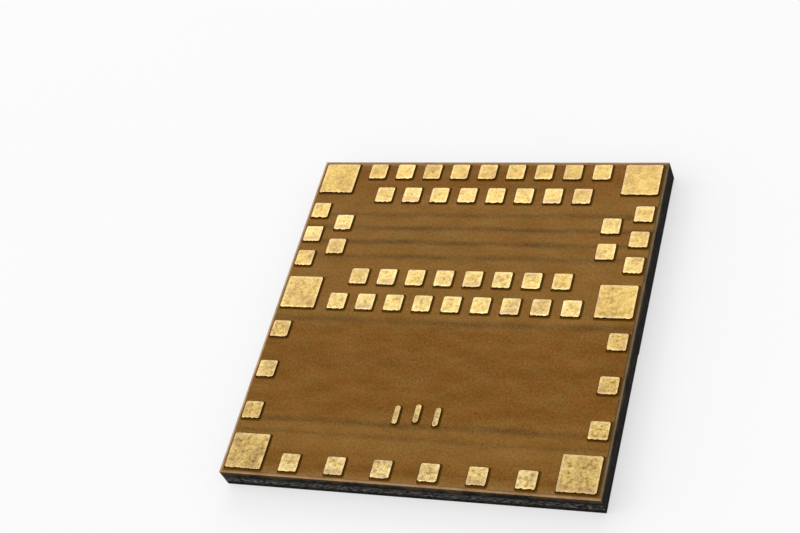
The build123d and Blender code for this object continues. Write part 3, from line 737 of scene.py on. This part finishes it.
def makeMould(look):
    # Black epoxy moulding compound with silica filler: satin and finely specked on its moulded face,
    # and rough with pale cut filler and saw lines on its sawn sides, with painted light on the near side
    # and painted shade at the foot
    material, add, surface, place = startMaterial(
        "silica-filled moulding compound", IOR=1.55, Specular_IOR_Level=0.06)
    parts, out = outFromMiddle(add, place)
    sawn = onSawnSide(add, out)
    along = add("ShaderNodeSeparateXYZ", {"Vector": place}).outputs["Y"]
    # Painted light: the pale specks are stronger on the near side, which makes that side lighter
    dustAndLight = add("ShaderNodeMapRange",
                {"Value": along, "From Min": -halfSide, "From Max": sawDepth - halfSide,
                 "To Min": look["nearDustAndLight"], "To Max": look["dust"]})
    smeared = look["smear"] * look["grain"]
    filler = drawnNoise(add, place, (smeared, smeared, look["grain"]), 3.0, 0.7)
    sparkle = add("ShaderNodeMapRange",
                  {"Value": filler, "From Min": 0.46, "From Max": 0.62, "To Max": dustAndLight})
    # Painted shade: no dust at the foot of the cut, so it stays dark where it meets the floor
    bare, full = look["shadedFoot"]
    clearOfShadedFoot = add("ShaderNodeMapRange", {"Value": parts["Z"], "From Min": bare, "From Max": full})
    full, bare = look["bareAbove"]
    rubbedOff = add("ShaderNodeMapRange",
                    {"Value": parts["Z"], "From Min": full, "From Max": bare, "To Min": 1.0,
                     "To Max": look["topDust"]})
    belt = add("ShaderNodeMath", {0: clearOfShadedFoot, 1: rubbedOff}, operation="MULTIPLY")
    onCut = add("ShaderNodeMath", {0: sawn, 1: belt}, operation="MULTIPLY")
    shown = add("ShaderNodeMath", {0: sparkle, 1: onCut}, operation="MULTIPLY")
    fine = add("ShaderNodeTexNoise",
               {"Vector": place, "Scale": 1 / look["faceGrain"], "Detail": 3.0, "Roughness": 0.6})
    speck = add("ShaderNodeMapRange", {"Value": fine, "From Min": 0.38, "From Max": 0.66})
    face = add("ShaderNodeMix",
               {"Factor": speck, "A": linear(look["face"]), "B": linear(look["faceLight"])},
               data_type="RGBA")
    blotches = add("ShaderNodeTexNoise",
                   {"Vector": place, "Scale": 1 / look["blotch"], "Detail": 3.0, "Roughness": 0.6})
    dragged = add("ShaderNodeMapRange",
                  {"Value": blotches, "From Min": 0.42, "From Max": 0.66, "To Max": look["blotchMost"]})
    cut = add("ShaderNodeMix", {"Factor": dragged, "A": linear(look["cut"]), "B": linear(look["cutLight"])},
              data_type="RGBA")
    body = add("ShaderNodeMix", {"Factor": sawn, "A": face, "B": cut}, data_type="RGBA")
    colour = add("ShaderNodeMix", {"Factor": shown, "A": body, "B": linear(look["filler"])},
                 data_type="RGBA")
    lines = drawnNoise(add, place, look["saw"], 2.0)
    rubbed = add("ShaderNodeMath", {0: lines, 1: filler}, operation="ADD")
    sawBump = add("ShaderNodeBump", {"Strength": sawn, "Height": rubbed, "Distance": look["cutHeight"]})
    bump = add("ShaderNodeBump", {"Height": fine, "Distance": look["faceHeight"], "Normal": sawBump})
    rough = add("ShaderNodeMapRange",
                {"Value": sawn, "To Min": look["faceRoughness"], "To Max": look["cutRoughness"]})
    drive(surface, Base_Color=colour, Roughness=rough, Normal=bump)
    return material


# Shield coat
coatLook = {
    "light": "#E2E0D4",
    "base": "#B0AEA2",
    "dark": "#77756A",
    "cut": "#1B1B1B",  # nearly black on the coat's sawn edge, along the foot of the sides
    "mark": "#1E1E18",
    "markPlace": (2.92 * mm, 3.29 * mm),
    "markRadius": 0.36 * mm,
    "markFloor": (0.001 * mm, 0.008 * mm),  # the heights from the bare coat to the burnt floor
    "grain": 0.06 * mm,
    "cloud": 1.4 * mm,
    "cloudShare": 0.12,
    "grainHeight": 0.01 * mm,
}


def makeCoat(look):
    # Sprayed silver-filled coat: a warm grey metal film as grainy as primer, cloudy where the spray
    # overlaps, and burnt dark where the laser has cut the mark
    material, add, surface, place = startMaterial(
        "sprayed silver coat", Metallic=0.6, Roughness=0.6)
    grain = add("ShaderNodeTexNoise",
                {"Vector": place, "Scale": 1 / look["grain"], "Detail": 3.0, "Roughness": 0.65})
    cloud = add("ShaderNodeTexNoise", {"Vector": place, "Scale": 1 / look["cloud"], "Detail": 2.0})
    faint = add("ShaderNodeMath", {0: cloud, 1: look["cloudShare"]}, operation="MULTIPLY")
    tone = add("ShaderNodeMath", {0: grain, 1: faint}, operation="ADD")
    level = add("ShaderNodeMapRange", {"Value": tone, "From Min": 0.36, "From Max": 0.76})
    sprayed = add("ShaderNodeValToRGB", {"Fac": level})
    setStops(sprayed, look, [(0.15, "dark"), (0.5, "base"), (0.85, "light")])
    # The floor of the cut lies half a coat up inside the mark's ring
    centre = (*look["markPlace"], 0)
    offset = add("ShaderNodeVectorMath", {0: place, 1: centre}, operation="SUBTRACT")
    flat = add("ShaderNodeVectorMath", {0: offset, 1: (1, 1, 0)}, operation="MULTIPLY")
    reach = add("ShaderNodeVectorMath", {0: flat}, operation="LENGTH")
    inside = add("ShaderNodeMath", {0: reach, 1: look["markRadius"]}, operation="LESS_THAN")
    height = add("ShaderNodeSeparateXYZ", {"Vector": place}).outputs["Z"]
    bare, burnt = look["markFloor"]
    cut = add("ShaderNodeMapRange", {"Value": height, "From Min": bare, "From Max": burnt})
    onMark = add("ShaderNodeMath", {0: inside, 1: cut}, operation="MULTIPLY")
    marked = add("ShaderNodeMix", {"Factor": onMark, "A": sprayed, "B": linear(look["mark"])},
                 data_type="RGBA")
    sawn = onSawnSide(add, outFromMiddle(add, place)[1])
    colour = add("ShaderNodeMix", {"Factor": sawn, "A": marked, "B": linear(look["cut"])}, data_type="RGBA")
    bump = add("ShaderNodeBump", {"Height": grain, "Distance": look["grainHeight"]})
    drive(surface, Base_Color=colour, Normal=bump)
    return material


# Sealed parts, whose finishes show only when the mould is taken off
innerLooks = {
    # real material: darker and lighter shade, grain, grain height, roughness, metallic
    "etched copper": ("#8F5232", "#C67D55", 0.03 * mm, 0.002 * mm, 0.4, 1.0),  # warm, faintly streaked metal
    "reflowed solder": ("#94979A", "#C3C6C8", 0.05 * mm, 0.002 * mm, 0.35, 1.0),  # satin grey metal
    "ground silicon": ("#2B2F36", "#474C55", 0.02 * mm, 0.001 * mm, 0.3, 0.0),  # blue-grey, finely scratched
    "fired alumina": ("#B9B2A0", "#D6D0C0", 0.025 * mm, 0.001 * mm, 0.6, 0.0),  # chalky off-white ceramic
    "rolled kovar": ("#A19C8C", "#C8C3B4", 0.04 * mm, 0.001 * mm, 0.3, 1.0),  # pale satin sheet metal
    "fired titanate": ("#8A6A4A", "#A88763", 0.025 * mm, 0.001 * mm, 0.55, 0.0),  # tan-brown ceramic block
    "fired ferrite": ("#3E4146", "#5C6066", 0.03 * mm, 0.0015 * mm, 0.55, 0.0),  # slate-grey ceramic block
    "plated tin": ("#A9ABAC", "#D0D2D3", 0.04 * mm, 0.0015 * mm, 0.35, 1.0),  # soft white metal
    "silver paste": ("#8E8C84", "#B9B7AE", 0.04 * mm, 0.003 * mm, 0.6, 0.8),  # dull grainy metal
}


def makeInner(name, look):
    dark, light, grainSize, grainHeight, roughness, metallic = look
    material, add, surface, place = startMaterial(name, Roughness=roughness, Metallic=metallic)
    grain = add("ShaderNodeTexNoise", {"Vector": place, "Scale": 1 / grainSize, "Detail": 3.0})
    level = add("ShaderNodeMapRange", {"Value": grain, **wideRange})
    colour = add("ShaderNodeMix", {"Factor": level, "A": linear(dark), "B": linear(light)},
                 data_type="RGBA")
    bump = add("ShaderNodeBump", {"Height": grain, "Distance": grainHeight})
    drive(surface, Base_Color=colour, Normal=bump)
    return material


inner = {name: makeInner(name, look) for name, look in innerLooks.items()}
sawnLaminate = makeLaminate(laminateLook)
finishes = {
    "land_side_resist": resist,
    "laminate": sawnLaminate,
    "part_side_resist": sawnLaminate,  # only its sawn edge shows, as dark as the laminate's
    "mould": makeMould(mouldLook),
    "shield_coat": makeCoat(coatLook),
    "shield_wall": inner["silver paste"],
    "radio_chip": inner["ground silicon"],
    "chip_bumps": inner["reflowed solder"],
    "solder_joints": inner["reflowed solder"],
    "fast_crystal_base": inner["fired alumina"],
    "slow_crystal_base": inner["fired alumina"],
    "matching_filter": inner["fired alumina"],
    "fast_crystal_lid": inner["rolled kovar"],
    "slow_crystal_lid": inner["rolled kovar"],
    "capacitor_blocks": inner["fired titanate"],
    "inductor_blocks": inner["fired ferrite"],
    "capacitor_ends": inner["plated tin"],
    "inductor_ends": inner["plated tin"],
    "antenna_track": inner["etched copper"],
    "ground_copper": inner["etched copper"],
    "ground_vias": inner["etched copper"],
    "solder_pads": inner["etched copper"],
}
for name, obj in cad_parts.items():
    for slot in obj.material_slots:
        slot.material = finishes.get(name, gold)
print("finishes on", len(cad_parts), "nodes")

# Studio
studioLook = {
    "floor": "#FAFAFA",
    "fleck": "#FCFCFC",
    "fleckSize": 5 * mm,
    "floorReach": 1.5,  # metres each way
    "backdrop": 0.55,  # how much of the floor's own white the camera sees in place of its shading
    "dome": 0.56,  # brightness of the white room all round
    "domeTilt": (-0.16, -0.12, 0.22),  # how much brighter it is towards +X, +Y and up
    # each lamp: azimuth from +Y towards +X, elevation, distance, width, height, radiance
    "softboxes": {
        "farSoftbox": (-14, 31, 0.5, 0.44, 0.24, 1.95),
        "leftSoftbox": (-95, 30, 0.6, 0.5, 0.5, 1.4),
    },
}


def direction(azimuth, elevation):
    # Degrees from +Y towards +X, and up from the floor
    a, e = math.radians(azimuth), math.radians(elevation)
    return Vector((math.sin(a) * math.cos(e), math.cos(a) * math.cos(e), math.sin(e)))


def hangSoftbox(name, azimuth, elevation, distance, width, height, radiance):
    lamp = bpy.data.lights.new(name, "AREA")
    lamp.shape = "RECTANGLE"
    lamp.size, lamp.size_y = width, height
    lamp.energy = radiance * math.pi * width * height
    away = direction(azimuth, elevation)
    holder = putInScene(name, lamp)
    holder.location = away * distance
    holder.rotation_euler = away.to_track_quat("Z", "Y").to_euler()


def makeFloor(look):
    reach = look["floorReach"]
    mesh = bpy.data.meshes.new("floor")
    corners = [(-reach, -reach, 0), (reach, -reach, 0), (reach, reach, 0), (-reach, reach, 0)]
    mesh.from_pydata(corners, [], [(0, 1, 2, 3)])
    # Matt white card: even and without gloss, so that it only takes a soft shadow
    material, add, surface, place = startMaterial(
        "white studio card", Roughness=0.9, Specular_IOR_Level=0.0)
    flecks = add("ShaderNodeTexNoise", {"Vector": place, "Scale": 1 / look["fleckSize"], "Detail": 2.0})
    colour = add("ShaderNodeMix",
                 {"Factor": flecks, "A": linear(look["floor"]), "B": linear(look["fleck"])},
                 data_type="RGBA")
    drive(surface, Base_Color=colour)
    # The camera and the shiny metal see the floor half as plain white, so its shadow is only faint
    ray = add("ShaderNodeLightPath").outputs
    seen = add("ShaderNodeMath", {0: ray["Is Camera Ray"], 1: ray["Is Glossy Ray"]}, operation="MAXIMUM")
    shown = add("ShaderNodeMath", {0: seen, 1: ray["Is Transmission Ray"]}, operation="MAXIMUM")
    share = add("ShaderNodeMath", {0: shown, 1: look["backdrop"]}, operation="MULTIPLY")
    white = add("ShaderNodeEmission", {"Color": (1, 1, 1, 1), "Strength": 1.0})
    mixed = add("ShaderNodeMixShader", {0: share, 1: surface, 2: white})
    output = next(n for n in material.node_tree.nodes if n.type == "OUTPUT_MATERIAL")
    drive(output, Surface=mixed)
    mesh.materials.append(material)
    floor = putInScene("studio_floor", mesh)


def makeRoom(look):
    world = bpy.data.worlds.new("studio")
    world.use_nodes = True
    world.node_tree.nodes.clear()
    add = partial(addNode, world.node_tree)
    way = add("ShaderNodeTexCoord").outputs["Generated"]
    lean = add("ShaderNodeVectorMath", {0: way, 1: look["domeTilt"]}, operation="DOT_PRODUCT")
    strength = add("ShaderNodeMath", {0: lean, 1: look["dome"]}, operation="ADD")
    dome = add("ShaderNodeBackground", {"Color": (1, 1, 1, 1), "Strength": strength})
    add("ShaderNodeOutputWorld", {"Surface": dome})
    bpy.context.scene.world = world


makeFloor(studioLook)
makeRoom(studioLook)
for name, setting in studioLook["softboxes"].items():
    hangSoftbox(name, *setting)

# Camera, where the photograph was taken from
cameraLook = {
    "place": (12.5605 * mm, -17.4624 * mm, 27.227 * mm),
    "azimuth": -32.9865,  # of the view, from +Y towards +X
    "elevation": -49.1812,
    "roll": -25.0767,
    "lens": 74.745,
    "shift": (-0.0875, -0.0331),
    "clip": (0.001, 10),  # metres
}


def placeCamera(look):
    axis = direction(look["azimuth"], look["elevation"])
    level = axis.cross(Vector((0, 0, 1))).normalized()
    lift = level.cross(axis)
    roll = math.radians(look["roll"])
    right = math.cos(roll) * level + math.sin(roll) * lift
    up = math.cos(roll) * lift - math.sin(roll) * level
    lens = bpy.data.cameras.new("camera")
    lens.sensor_width = 36
    lens.lens = look["lens"]
    lens.shift_x, lens.shift_y = look["shift"]
    lens.clip_start, lens.clip_end = look["clip"]
    camera = putInScene("camera", lens)
    turn = Matrix((right, up, -axis)).transposed().to_4x4()
    camera.matrix_world = Matrix.Translation(look["place"]) @ turn
    bpy.context.scene.camera = camera


placeCamera(cameraLook)
bpy.context.scene.view_settings.view_transform = "Standard"
print("studio and camera set")
